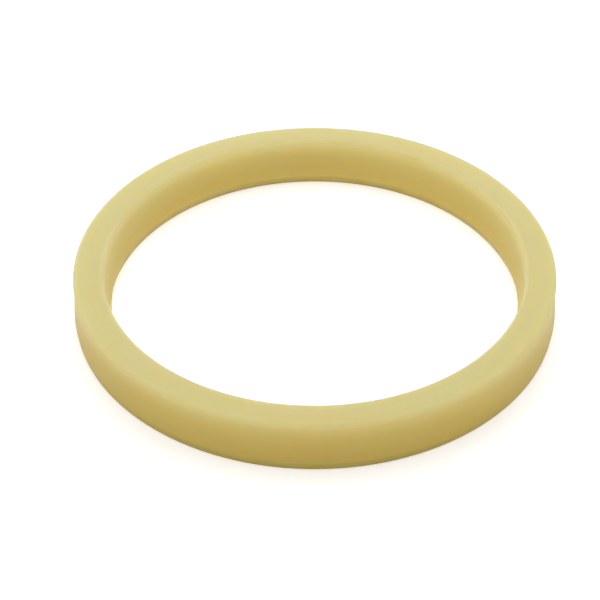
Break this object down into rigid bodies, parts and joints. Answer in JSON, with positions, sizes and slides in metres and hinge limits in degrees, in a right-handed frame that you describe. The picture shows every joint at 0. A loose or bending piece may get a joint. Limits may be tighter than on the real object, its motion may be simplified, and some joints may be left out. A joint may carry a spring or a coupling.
{
  "type": "u cup rod seal",
  "caption": "Ring seal with a solid heel and a groove between flared inner and outer lips; it seals a sliding rod in its gland bore.",
  "frame": {"origin": "on the ring's axis, at the level of the lip ends", "axes": "+Z along the ring's axis, from the lip ends towards the heel; +X and +Y are any two directions across the ring"},
  "size_m": [0.1024, 0.1024, 0.0111],
  "materials": {
    "polyurethane": "satin"
  },
  "bodies": {
    "root": {"u_cup_seal": "polyurethane"}
  },
  "joints": []
}
